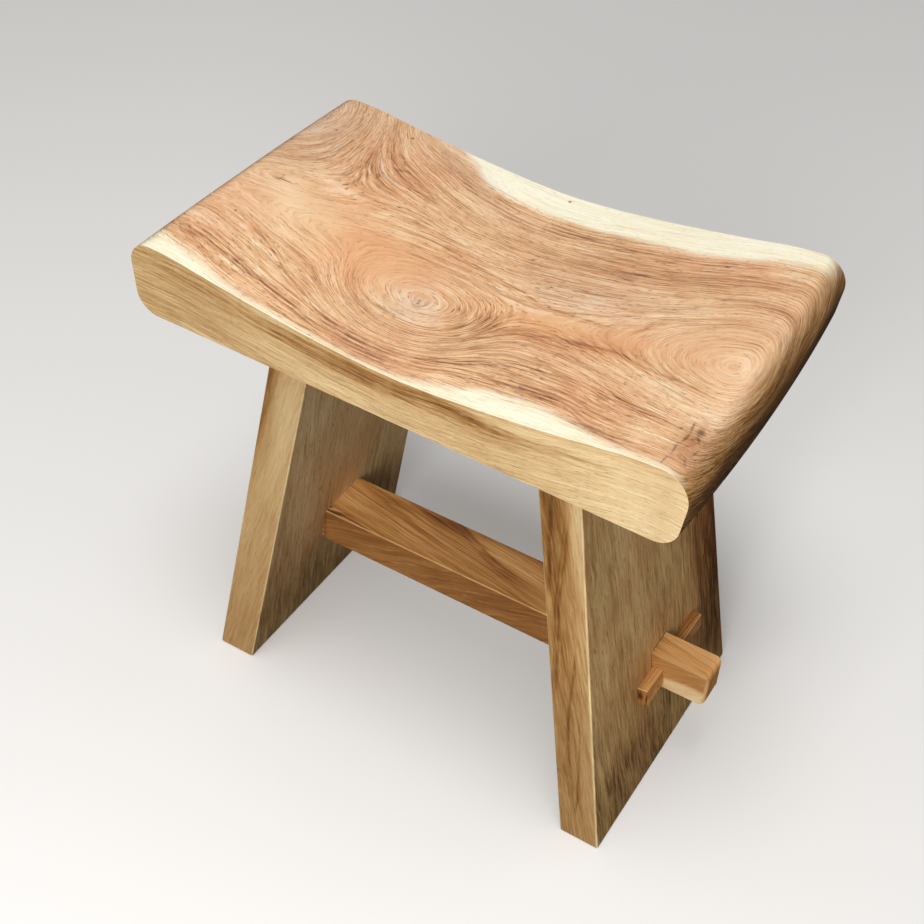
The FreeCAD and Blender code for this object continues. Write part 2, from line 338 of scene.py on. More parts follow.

    # Arrises are rubbed paler and smoother, and the paleness is partly a painted highlight: on them the
    # normal is halfway between two faces
    lean = addNode(tree, "ShaderNodeVectorMath", (coordinates["Normal"], look["wearAcross"]),
                   operation="DOT_PRODUCT").node.outputs["Value"]
    squared = addNode(tree, "ShaderNodeMath", (lean, lean), operation="MULTIPLY")
    rest = addNode(tree, "ShaderNodeMath", (1, squared), operation="SUBTRACT")
    halfway = addNode(tree, "ShaderNodeMath", (squared, rest), operation="MULTIPLY")
    wearAndHighlight = addNode(tree, "ShaderNodeMapRange", (halfway, *woodFinish["arrisRange"], 0, 1))
    patchy = addNode(tree, "ShaderNodeTexNoise", {
        "Vector": board, "Scale": 1 / woodFinish["rubSize"], "Detail": 3,
    })
    patchy = addNode(tree, "ShaderNodeMapRange",
                     (patchy, *woodFinish["rubRange"], *woodFinish["rubShares"]))
    wearAndHighlight = addNode(tree, "ShaderNodeMath", (wearAndHighlight, patchy), operation="MULTIPLY")
    # Pale rub on the arrises, partly a painted highlight
    colour = addNode(tree, "ShaderNodeMix",
                     (wearAndHighlight, colour, linear(look["wearAndHighlightColour"])), data_type="RGBA")

    # Dark dense wood takes more polish than pale wood, and the bump sinks the pores
    palest = look["roughness"] + woodFinish["paleDulling"]
    darkest = look["roughness"] - woodFinish["darkSmoothing"]
    roughness = addNode(tree, "ShaderNodeMapRange", (tone, *woodFinish["sheenTones"], palest, darkest))
    roughness = addNode(tree, "ShaderNodeMath", (wearAndHighlight, -woodFinish["rubSmoothing"], roughness),
                        operation="MULTIPLY_ADD")
    normal = addNode(tree, "ShaderNodeBump", {
        "Strength": woodFinish["poreStrength"],
        "Distance": woodFinish["poreDepth"] * mm,
        "Height": height,
    })
    shader = addNode(tree, "ShaderNodeBsdfPrincipled", {
        "Base Color": colour,
        "Roughness": roughness,
        "Specular IOR Level": woodFinish["specular"],
        "Normal": normal,
    })
    addNode(tree, "ShaderNodeOutputMaterial", (shader,))
    return material


# Straw-coloured outer wood, which shows on the edges of the slab and of the legs
straw = [
    (0, "#fbe6b8"), (0.3, "#eacd9b"), (0.5, "#d2af7c"), (0.7, "#b38753"), (0.85, "#916433"),
    (1, "#663f1c"),
]


# Seat

seat = {
    "reach": (238.5, 228.5),  # left and right, from the middle of the stool
    "noseRadius": (19.6, 22.8),
    "heelRadius": (18.8, 19.1),
    "undercut": (3.9, 6.7),  # lean of an end face, in under the nose
    "bow": (2.0, 5.5),  # how far an end stands out at mid depth
    "frontGain": 1.8,  # how much further the ends stand out in front than behind
    "halfDepth": (134.6, 144.7),
    "skew": 3.2,  # how far the right end sits back
    "arris": 1.5,
    "arrisSegments": 3,
    "arrisAngle": 50,  # edges turned by more than this are softened
    "hollowDepth": 23.2,
    "hollowShares": ((0.14, 0.045), (0.28, 0.155), (0.52, 0.41), (0.78, 0.76), (0.9, 0.934)),
    "pointsAround": 640,
    "rowsDeep": 33,
    "cornerPoints": 16,
    "mortiseLength": 44.4,
    "mortiseWidth": 18.4,
    "mortiseSpacing": (233.2, 96.0),  # along and across the seat, middle to middle
    "mortiseDepth": 30.0,
    # The slab is sawn through two knots, whose rings make the eyes on its top
    "wood": {
        "name": "oiledAcaciaSeat",
        "wobble": ((45, 2.4), (7, 0.5)),
        "pith": (-22, 40, 0, 0, 1.2),
        "endGain": 3.6,
        "hills": [
            (-36, -66, 62, 50, 0, 2, -34),
            (-32, -60, 40, 28, 0, 0.7, -24),
            (-20, 95, 130, 45, 0, 1, 16),
            (85, -75, 80, 35, 0, 1, 12),
            (198, -16, 46, 36, 0, 1, -16),
            (225, 0, 90, 105, 0, 1, -44),
            (250, 0, 26, 104, 0, 1.5, 64),
            (-250, 142, 72, 102, 17, 1.4, -176),
            (-205, 4, 70, 26, 8, 1, 34),
            (-130, 90, 60, 40, -30, 1, -18),
            (-240, -80, 100, 50, 0, 1, 26),
        ],
        "tone": 0.40,
        "toneHills": [
            (-33, -54, 30, 26, 0, 1, -0.36),
            (-32, -58, 62, 40, 0, 2, 0.07),
            (36, -62, 34, 26, 0, 1, 0.16),
            (14, -54, 14, 36, 0, 1, 0.06),
            (95, -42, 70, 14, 0, 1, 0.14),
            (-110, -30, 50, 30, 0, 1, -0.04),
            (-190, -25, 50, 26, 0, 1, -0.12),
            (85, 5, 60, 18, 0, 1, -0.10),
            (50, 62, 100, 26, 0, 1, 0.12),
            (-125, 84, 50, 34, -35, 1, 0.06),
            (160, 66, 60, 30, 10, 1, 0.06),
            (190, 20, 40, 20, 0, 1, 0.05),
            (218, 128, 26, 16, 0, 1, 0.2),
            (-222, 95, 32, 48, 0, 1, -0.12),
            (210, -8, 22, 24, 0, 1, -0.05),
            (212, -45, 14, 60, 0, 1, -0.10),
            (60, 92, 150, 10, 0, 1, 0.08),
            (60, -95, 200, 14, 0, 1, 0.06),
            (40, -130, 220, 9, 0, 2, 0.12),
        ],
        "calm": [(-100, -20, 60, 34, 0, 1, -0.4), (-175, -26, 66, 28, 0, 1, -0.6),
                 (-72, -45, 26, 26, 0, 1, -0.45),
                 (14, -52, 18, 38, 0, 1, 0.3), (192, -14, 50, 38, 0, 1, -0.6),
                 (-200, 4, 60, 16, 5, 1, -0.3),
                 (118, -20, 34, 16, 0, 1, -0.6), (60, -22, 50, 12, 0, 1, -0.4)],
        "heart": [(0, "#fce7c6"), (0.28, "#f2cda3"), (0.45, "#e4b687"), (0.6, "#d09d6f"),
                  (0.78, "#aa7956"),
                  (1, "#6b4634")],
        "drift": "#f4d9d2",
        "driftShare": 0.45,
        "sap": [(0, "#fffbe8"), (0.45, "#fcf4d6"), (0.7, "#f0dcb2"), (1, "#c9a77a")],
        "sapEdges": [
            {"points": [(-240, -109), (-180, -124), (-110, -134), (-20, -135), (40, -126), (85, -115),
                        (125, -121),
                        (170, -134), (235, -140)], "direction": -1, "softness": 6},
            {"points": [(-240, 170), (-145, 153), (-95, 131), (-45, 108), (60, 108), (140, 113),
                        (205, 126),
                        (235, 122)], "direction": 1, "softness": 6},
        ],
        "faces": [
            {
                # Front and back show the straw-coloured outer wood with one brown band
                "normal": (0, 1, 0), "turn": (0.5, 0.9), "first": "along", "ramp": straw, "tone": 0.47,
                "contrast": 0.62,
                "pores": 0.55,
                "toneHills": [
                    (-205, 420, 70, 40, 0, 1, 0.12),
                    (0, 420, 120, 10, 0, 1, 0.21),
                    (215, 410, 90, 50, 0, 1, -0.19),
                    (40, 394, 130, 12, 0, 1, -0.04),
                    (0, 408, 100, 34, 0, 1, 0.05),
                    (58, 421, 26, 3, 0, 1, 0.2),
                ],
                "streaks": [
                    {"points": [(-225, 440), (-160, 433), (-120, 425), (-80, 420), (-20, 416),
                                (50, 421), (125, 420)],
                     "fade": 40, "strands": ((0, 2.6, 0.17), (5, 1.4, 0.15), (-5, 1.2, 0.12))},
                    {"points": [(-120, 429), (-80, 417), (-40, 414), (20, 412), (90, 409)], "fade": 30,
                     "strands": ((0, 1.0, 0.16),)},
                    {"points": [(90, 424), (150, 428), (225, 436)], "fade": 25,
                     "strands": ((0, 1.0, 0.14), (-6, 0.9, 0.12))},
                ],
            },
            {
                # The ends are end grain, which soaks up oil and turns dark, and their darkness is partly
                # painted shade, most of all towards the underside under the nose
                "normal": (1, 0, 0), "turn": (0.2, 0.9), "first": "side", "tone": 0.25, "contrast": 1.6,
                "pores": 1,
                "toneHills": [(0, 386, 600, 47, 0, 1.5, 0.56), (-142, 416, 42, 26, 0, 1, -0.26)],
                "ramp": [(0, "#c79a62"), (0.3, "#9c6e36"), (0.55, "#6a4416"), (0.8, "#432807"),
                         (1, "#2a1704")],
            },
        ],
        "tints": [("#d9cfd6", "MULTIPLY", [(-215, 82, 44, 66, 0, 1, 0.7), (-33, -56, 28, 26, 0, 1, 0.5),
                                           (72, 22, 56, 28, 0, 1, 0.5),
                                           (-95, 112, 50, 14, -25, 1, 0.6)]),
                  ("#b98f70", "MULTIPLY", [(213, -110, 11, 26, 0, 1, 0.75)]),
                  ("#fbdcb2", "MULTIPLY", [(-100, -32, 52, 34, 0, 1, 0.35),
                                           (70, -30, 70, 18, 0, 1, 0.4)])],
        "layers": [
            (30, 160, 1.5, 0.45, 0),
            (9, 120, 1.5, 0.35, 0),
            (3, 110, 1.5, 0.44, 0),
            (1.3, 60, 1, 0.65, 0.3),
            (0.75, 20, 1, 0.85, 0.4),
        ],
        "marks": [
            (1.7, 110, 0.60, 0.70, "#916852", 0.5, 0.3),
            (0.7, 7, 0.59, 0.73, "#75503a", 0.7, 1),
            (0.9, 9, 0.62, 0.78, "#fff0d6", 0.4, 0),
        ],
        "streaks": [
            {"points": [(-240, -92), (-200, -98), (-154, -105), (-107, -115), (-48, -122), (2, -118),
                        (40, -108), (95, -105),
                        (142, -117), (180, -126)], "fade": 30,
             "strands": ((0, 1.4, 0.34), (4.5, 1.2, 0.28), (-3.6, 1.2, 0.26), (9, 1.2, 0.2))},
            {"points": [(-205, -55), (-158, -72), (-111, -97), (-36, -114), (14, -104), (55, -84),
                        (80, -80), (164, -92), (215, -100)], "fade": 30,
             "strands": ((0, 1.3, 0.30), (3.6, 0.9, 0.21), (-4, 0.9, 0.18))},
            {"points": [(-117, 12), (-70, 17), (-39, 14), (24, 2), (55, -8), (118, -10)], "fade": 30,
             "strands": ((0, 1.3, 0.30), (-3, 1.0, 0.18))},
            {"points": [(40, -62), (58, -46), (83, -38), (117, -37), (149, -45), (217, -59)],
             "fade": 25,
             "strands": ((0, 1.8, 0.27), (-4, 1.0, 0.18))},
            {"points": [(-135, 112), (-67, 97), (-23, 92), (102, 94), (149, 102), (200, 117)],
             "fade": 35,
             "strands": ((0, 1.2, 0.28), (4, 1.0, 0.2), (-5, 1.0, 0.14))},
            {"points": [(20, 74), (70, 70), (120, 72), (170, 86), (228, 104)], "fade": 40,
             "strands": ((0, 1.1, 0.15), (-7, 1.1, 0.1), (8, 1.0, 0.13))},
            {"points": [(60, -128), (100, -120), (150, -127), (200, -138)], "fade": 20,
             "strands": ((0, 0.9, 0.30),)},
        ],
        "knotAndShadeColour": "#5a3820",
        "knotsAndShadeLines": [
            (-6, 133, 1.4, 1.8, 0, 1, 1),
            (147, 100, 2.2, 1.5, 0, 1, 0.9),
            (-200, -57, 1.3, 1.3, 0, 1, 0.9),
            (-196, 0, 9, 0.8, 4, 1, 0.8),
            (-201, -2.4, 5, 0.7, 0, 1, 0.7),
            (10, 44, 3.2, 0.9, 35, 1, 0.8),
            (-152, 122, 1.6, 1.6, 0, 1, 0.8),
            (-205, 86, 1.3, 1.3, 0, 1, 0.7),
            (86, 53, 9, 1.5, -12, 1, 0.5),
            (79, 48, 5, 1.0, -12, 1, 0.5),
            (-134, 78, 7, 2.4, 20, 1, 0.55),
            (-158, 84, 16, 0.9, -55, 1, 0.5),
            (-52, -76, 9, 2.2, -8, 1, 0.5),
            (-38, -74, 8, 3, 10, 1, 0.35),
            (-57, -62, 3, 9, 12, 1, 0.3),
            (12, -70, 7, 1.6, 50, 1, 0.45),
            (20, -74, 6, 1.4, 60, 1, 0.4),
            (4, -80, 7, 1.5, 35, 1, 0.4),
            (26, -66, 5, 1.3, 70, 1, 0.35),
            (207, -92, 1.1, 6, 8, 1, 0.7),
            (208, -105, 1.3, 6, -6, 1, 0.75),
            (206, -118, 1.1, 7, 5, 1, 0.65),
            (205, -131, 1.1, 5, -4, 1, 0.6),
            (214, -94, 3.5, 4.5, 10, 1, 0.85),
            (216, -102, 1.2, 4, 35, 1, 0.6),
            (219, -113, 1.2, 6, -12, 1, 0.6),
            (217, -125, 1.5, 5, 25, 1, 0.5),
            (212, -112, 1, 4, -40, 1, 0.5),
            (213, -103, 1, 3.5, -55, 1, 0.45),
            (201, -97, 2, 1.5, 0, 1, 0.7),
        ],
        "wearAcross": (0, 1, 0),
        "wearAndHighlightColour": "#fff2d0",
        "roughness": 0.48,
    },
}
seatLow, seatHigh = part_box("seat")
seatTop = seatHigh.z / mm
seatUnderside = seatLow.z / mm
seatCrests = (seat["noseRadius"][0] - seat["reach"][0], seat["reach"][1] - seat["noseRadius"][1])


def hollowPoints():
    # The hollow's height over its lowest line, from crest to crest
    middle = sum(seatCrests) / 2
    run = (seatCrests[1] - seatCrests[0]) / 2
    rises = [(0, 0), *seat["hollowShares"], (1, 1)]
    left = [(middle - run * across, rise * seat["hollowDepth"]) for across, rise in reversed(rises[1:])]
    right = [(middle + run * across, rise * seat["hollowDepth"]) for across, rise in rises]
    return left + right


def endCorners(end):
    # Upper and lower corner of an end of the section, before they are rounded
    undercut = math.radians(seat["undercut"][end])
    radius = seat["noseRadius"][end]
    noseX = seat["reach"][end] - radius
    noseZ = seatTop - radius
    side = 1 if end else -1
    corners = []
    for z in (seatTop, seatUnderside):
        x = noseX + (radius + math.sin(undercut) * (z - noseZ)) / math.cos(undercut)
        corners.append((side * x * mm, z * mm, 0))
    return corners


def seatTree():
    # A rounded section is swept from front to back, spread to the slab's plan and hollowed
    tree = bpy.data.node_groups.new("slabSeat", "GeometryNodeTree")
    tree.interface.new_socket("Geometry", in_out="OUTPUT", socket_type="NodeSocketGeometry")
    kinds = {"float": "NodeSocketFloat", "int": "NodeSocketInt", "tuple": "NodeSocketVector",
             "Material": "NodeSocketMaterial"}
    values = {
        "Left nose": endCorners(0)[0],
        "Left heel": endCorners(0)[1],
        "Right nose": endCorners(1)[0],
        "Right heel": endCorners(1)[1],
        "Left nose radius": seat["noseRadius"][0] * mm,
        "Right nose radius": seat["noseRadius"][1] * mm,
        "Left heel radius": seat["heelRadius"][0] * mm,
        "Right heel radius": seat["heelRadius"][1] * mm,
        "Left crest": seatCrests[0] * mm,
        "Right crest": seatCrests[1] * mm,
        "Underside": seatUnderside * mm,
        "Left half depth": seat["halfDepth"][0] * mm,
        "Right half depth": seat["halfDepth"][1] * mm,
        "Left end": -seat["reach"][0] * mm,
        "Right end": seat["reach"][1] * mm,
        "Skew": seat["skew"] * mm,
        "Left bow": seat["bow"][0] * mm,
        "Right bow": seat["bow"][1] * mm,
        "Front gain": seat["frontGain"] * mm,
        "Mortise": (seat["mortiseWidth"] * mm, seat["mortiseLength"] * mm,
                    2 * seat["mortiseDepth"] * mm),
        "Mortise spacing along": seat["mortiseSpacing"][0] * mm,
        "Mortise spacing deep": seat["mortiseSpacing"][1] * mm,
        "Corner points": seat["cornerPoints"],
        "Points around": seat["pointsAround"],
        "Rows deep": seat["rowsDeep"],
        "Wood": seatWood,
    }
    for name, value in values.items():
        tree.interface.new_socket(name, in_out="INPUT", socket_type=kinds[type(value).__name__])
    given = addNode(tree, "NodeGroupInput").node.outputs

    section = addNode(tree, "GeometryNodeCurvePrimitiveQuadrilateral", {
        "Point 1": given["Left heel"], "Point 2": given["Left nose"],
        "Point 3": given["Right nose"], "Point 4": given["Right heel"],
    }, mode="POINTS")
    corner = addNode(tree, "GeometryNodeInputIndex")
    radius = given["Left heel radius"]
    laterRadii = ("Left nose radius", "Right nose radius", "Right heel radius")
    for number, name in enumerate(laterRadii, start=1):
        isCorner = addNode(tree, "ShaderNodeMath", (corner, number, 0.1), operation="COMPARE")
        radius = addNode(tree, "ShaderNodeMix", (isCorner, radius, given[name]))
    rounded = addNode(tree, "GeometryNodeFilletCurve", {
        "Curve": section, "Count": given["Corner points"], "Radius": radius,
    }, mode="POLY")
    evened = addNode(tree, "GeometryNodeResampleCurve", {
        "Curve": rounded, "Count": given["Points around"],
    })
    line = addNode(tree, "GeometryNodeCurvePrimitiveLine", {"Start": (0, 0, -1), "End": (0, 0, 1)})
    rows = addNode(tree, "GeometryNodeResampleCurve", {"Curve": line, "Count": given["Rows deep"]})
    swept = addNode(tree, "GeometryNodeCurveToMesh", {
        "Curve": rows, "Profile Curve": evened, "Fill Caps": True,
    })

    # Place of each point in the unspread sweep: x along, y up, z from -1 in front to 1 at the back
    position = addNode(tree, "GeometryNodeInputPosition")
    place = addNode(tree, "ShaderNodeSeparateXYZ", (position,)).node.outputs
    share = addNode(tree, "ShaderNodeMapRange",
                    (place[0], given["Left crest"], given["Right crest"], 0, 1))
    bow = addNode(tree, "ShaderNodeMath", (place[2], place[2]), operation="MULTIPLY")
    bow = addNode(tree, "ShaderNodeMath", (1, bow), operation="SUBTRACT")
    gain = addNode(tree, "ShaderNodeMath", (given["Front gain"], place[2]), operation="MULTIPLY")
    leftOut = addNode(tree, "ShaderNodeMath", (given["Left bow"], bow), operation="MULTIPLY")
    leftOut = addNode(tree, "ShaderNodeMath", (gain, leftOut), operation="SUBTRACT")
    rightOut = addNode(tree, "ShaderNodeMath", (given["Right bow"], bow), operation="MULTIPLY")
    rightOut = addNode(tree, "ShaderNodeMath", (rightOut, gain), operation="SUBTRACT")
    shift = addNode(tree, "ShaderNodeMix", (share, leftOut, rightOut))
    x = addNode(tree, "ShaderNodeMath", (place[0], shift), operation="ADD")
    run = addNode(tree, "ShaderNodeMapRange", (x, given["Left end"], given["Right end"], 0, 1),
                  clamp=False)
    halfDepth = addNode(tree, "ShaderNodeMapRange",
                        (run, 0, 1, given["Left half depth"], given["Right half depth"]), clamp=False)
    drift = addNode(tree, "ShaderNodeMath", (run, given["Skew"]), operation="MULTIPLY")
    y = addNode(tree, "ShaderNodeMath", (place[2], halfDepth, drift), operation="MULTIPLY_ADD")
    scaled = addNode(tree, "ShaderNodeMath", (place[0], 1 / mm), operation="MULTIPLY")
    rise = drawCurve(tree, scaled, hollowPoints())
    drop = addNode(tree, "ShaderNodeMath", (rise, seat["hollowDepth"]), operation="SUBTRACT")
    drop = addNode(tree, "ShaderNodeMath", (drop, mm), operation="MULTIPLY")
    above = addNode(tree, "ShaderNodeMath", (place[1], given["Underside"]), operation="SUBTRACT")
    midHeight = (seatTop - seatUnderside) / 2 * mm
    isTop = addNode(tree, "ShaderNodeMath", (above, midHeight), operation="GREATER_THAN")
    z = addNode(tree, "ShaderNodeMath", (drop, isTop, place[1]), operation="MULTIPLY_ADD")
    placed = addNode(tree, "GeometryNodeSetPosition", {
        "Geometry": swept, "Position": addNode(tree, "ShaderNodeCombineXYZ", (x, y, z)),
    })

    # Blind mortises for the legs' stub tenons
    middles = addNode(tree, "GeometryNodeMeshGrid", (
        given["Mortise spacing along"], given["Mortise spacing deep"], 2, 2,
    ))
    lift = addNode(tree, "ShaderNodeCombineXYZ", (0, 0, given["Underside"]))
    middles = addNode(tree, "GeometryNodeTransform", {"Geometry": middles, "Translation": lift})
    block = addNode(tree, "GeometryNodeMeshCube", {"Size": given["Mortise"]})
    blocks = addNode(tree, "GeometryNodeInstanceOnPoints", {"Points": middles, "Instance": block})
    blocks = addNode(tree, "GeometryNodeRealizeInstances", (blocks,))
    cut = addNode(tree, "GeometryNodeMeshBoolean", {"Mesh 1": placed, "Mesh 2": blocks},
                  operation="DIFFERENCE")
    whole = addNode(tree, "GeometryNodeRealizeInstances", (cut,))
    finished = addNode(tree, "GeometryNodeSetMaterial", {"Geometry": whole, "Material": given["Wood"]})
    addNode(tree, "NodeGroupOutput", (finished,))
    return tree, values


def runTree(name, tree, values):
    # Runs a node tree once and keeps its result as a plain mesh
    holder = bpy.data.objects.new(name, bpy.data.meshes.new(name))
    bpy.context.scene.collection.objects.link(holder)
    modifier = holder.modifiers.new("nodes", "NODES")
    modifier.node_group = tree
    for socket in tree.interface.items_tree:
        if socket.in_out == "INPUT":
            modifier[socket.identifier] = values[socket.name]
    graph = bpy.context.evaluated_depsgraph_get()
    result = bpy.data.meshes.new_from_object(holder.evaluated_get(graph), depsgraph=graph)
    holder.modifiers.remove(modifier)
    holder.data = result
    return holder


def softenArrises(piece, sizes):
    bevel = piece.modifiers.new("arris", "BEVEL")
    bevel.width = sizes["arris"] * mm
    bevel.segments = sizes["arrisSegments"]
    bevel.limit_method = "ANGLE"
    bevel.angle_limit = math.radians(sizes["arrisAngle"])
    even = piece.modifiers.new("evenNormals", "WEIGHTED_NORMAL")
    even.keep_sharp = True
    for face in piece.data.polygons:
        face.use_smooth = True


# Depth is measured from the hollowed top, so that the figure lies on it where the eye expects it
hollowFloor = seatTop - seat["hollowDepth"]
topLine = [(x, hollowFloor + rise) for x, rise in hollowPoints()]
seatWood = woodMaterial({**seat["wood"], "hollow": topLine})
seatPiece = runTree("slab_seat", *seatTree())
softenArrises(seatPiece, seat)
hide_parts("seat")
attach(seatPiece, "frame")
print("seat made:", len(seatPiece.data.polygons), "faces")


# Legs

legBoards = {
    "splay": 10.2,
    "feetSpread": 408.4,  # from outer face to outer face at the floor
}
splay = math.radians(legBoards["splay"])
legFace = legBoards["feetSpread"] / 2 * math.cos(splay)  # from the stool's middle to a leg's outer face

# Heartwood with an olive cast on the left leg, warmer on the right one, golden on the stretcher and keys
oliveTan = [(0, "#f0d9aa"), (0.3, "#dfc08c"), (0.5, "#c9a571"), (0.7, "#a38254"), (0.85, "#7c5d38"),
            (1, "#523a20")]
warmTan = [(0, "#eace99"), (0.3, "#d9b67d"), (0.5, "#c39c65"), (0.7, "#9e7b4b"), (0.85, "#785832"),
           (1, "#4f361c")]
goldenBrown = [(0, "#f4cc92"), (0.3, "#dca665"), (0.5, "#bb8244"), (0.7, "#98602c"), (0.85, "#72441a"),
               (1, "#4c2b10")]

# Layers of figure: broad bands, lines and fibres, shorter and more broken on the sawn leg boards
legLayers = [
    (26, 200, 1.5, 0.5, 0),
    (8, 120, 1.5, 0.35, 0),
    (2.8, 60, 1.5, 0.4, 0),
    (1.2, 30, 1, 0.7, 0.4),
]
legMarks = [
    (0.8, 12, 0.58, 0.71, "#4a3421", 0.42, 1),
    (1.2, 14, 0.62, 0.75, "#f3dcb0", 0.14, 0),
]
fineLayers = [
    (26, 260, 1.5, 0.6, 0),
    (8, 180, 1.5, 0.38, 0),
    (2.8, 110, 1.5, 0.42, 0),
    (1.2, 70, 1, 0.7, 0.4),
]
fineMarks = [
    (0.8, 18, 0.60, 0.72, "#5a4029", 0.28, 1),
    (1.3, 20, 0.62, 0.75, "#f3dcb0", 0.09, 0),
]

# Dark lines on a leg's outer face, where the tenon comes out of it: partly painted shade of the gap
# round the tenon and partly dirty oil
jointShadeAndOilLines = [
    (93.4, 0, 0.8, 15, 0, 4, 0.9, 6),
    (58.7, 0, 0.8, 15, 0, 4, 0.9, 6),
    (76, -15, 17, 0.8, 0, 4, 0.9, 6),
    (76, 15, 17, 0.8, 0, 4, 0.9, 6),
]


def legLook(name, side, extra):
    # Boards sawn along the stem and sanded: straight figure up the leg, with dashes of pores
    # along runs up the leg from -36 at the floor, side runs from front to back,
    # and level is the depth under the leg's outer face
    return {
        "name": name,
        "board": {
            "Scale": (side, 1, 1),
            "Rotation": (0, math.pi / 2 + splay, 0),
            "Location": (0, 0, legFace),
        },
        "wobble": ((60, 2.5), (16, 1.1), (6, 0.4)),
        "pith": (-420, 400, 0.02, 0.03, 1),
        "tone": 0.48,
        "heart": oliveTan,
        "drift": "#f0d4cc",
        "driftShare": 0.4,
        "layers": legLayers,
        "marks": legMarks,
        # These two give the dark lines round the tenon: partly painted shade of the gap and partly dirty
        # oil
        "knotAndShadeColour": "#3a2510",
        "knotsAndShadeLines": jointShadeAndOilLines,
        "wearAcross": (0, 1, 0),
        "wearAndHighlightColour": "#f0d7a2",
        "roughness": 0.5,
        **extra,
    }


legs = {
    "left_leg": legLook("oiledAcaciaLeftLeg", -1, {
        "tone": 0.25,
        # The first hill makes the leg darker towards the floor
        "toneHills": [(-36, 0, 130, 200, 0, 1, 0.48), (240, -85, 14, 2.5, 0, 1, 0.3),
                      (222, -70, 10, 2, 0, 1, 0.25)],
        "tints": [("#e4b078", "MULTIPLY", [(130, -15, 55, 28, 0, 1, 0.35)]),
                  ("#dfdccc", "MULTIPLY", [(200, 60, 200, 90, 0, 1, 0.5)]),
                  ("#eef2f6", "MULTIPLY", [(110, -112, 260, 12, 3, 4, 0.5)])],
        "faces": [{
            "normal": (0, 1, 0), "turn": (0.6, 0.9), "first": "along", "ramp": straw, "tone": 0.58,
            "contrast": 0.35,
            "pores": 0.4,
            "toneHills": [(330, -2, 120, 12, 0, 1.5, 0.30), (-36, 18, 110, 60, 0, 1, 0.08),
                          (280, 26, 90, 12, 0, 1, -0.12)],
        }],
    }),
    "right_leg": legLook("oiledAcaciaRightLeg", 1, {
        "tone": 0.45,
        "heart": warmTan,
        # The second hill makes the leg darker towards the floor
        "toneHills": [(14, -84, 18, 44, 0, 1, 0.12), (-40, 0, 100, 300, 0, 1, 0.24),
                      # This hill, high at the back under the seat's nose, is partly painted shadow of
                      # the seat and partly brown heartwood
                      (190, 120, 190, 60, 0, 2, 0.42)],
        "tints": [("#f2d2a4", "MULTIPLY", [(86, -24, 34, 40, 0, 1, 0.35)]),
                  # This tint deepens the same patch: painted shadow of the seat over brown heartwood
                  ("#e8b884", "MULTIPLY", [(190, 120, 190, 60, 0, 2, 0.6)]),
                  ("#eaf2fa", "MULTIPLY", [(20, -126, 140, 12, 3.7, 2, 0.6)])],
        "faces": [{
            "normal": (0, 1, 0), "turn": (0.6, 0.9), "first": "along", "ramp": straw, "tone": 0.75,
            "contrast": 0.5,
            "pores": 0.6,
            "toneHills": [(110, 0, 260, 2, 0, 2, -0.20), (340, 2, 100, 11, 0, 1.5, -0.24),
                          (-20, 20, 90, 60, 0, 1, -0.03),
                          (130, 5, 190, 9, 0, 2, -0.09),
                          (300, 24, 80, 12, 0, 1, 0.10)],
            "streaks": [
                {"points": [(110, 34), (167, 28.5), (218, 24), (269, 16), (330, 8)], "fade": 40,
                 "strands": ((0, 1.5, 0.15), (3, 0.8, 0.12))},
                {"points": [(225, 32), (280, 28), (340, 24)], "fade": 20, "strands": ((0, 1.8, 0.13),)},
                {"points": [(-10, 21), (20, 17), (80, 12), (120, 9)], "fade": 20,
                 "strands": ((0, 1.2, 0.12),)},
                {"points": [(40, 24), (110, 20), (180, 12)], "fade": 20, "strands": ((0, 1.2, 0.14),)},
            ],
        }],
    }),
}
for legName, look in legs.items():
    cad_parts[legName].material_slots[0].material = woodMaterial(look)
print("legs given their wood")

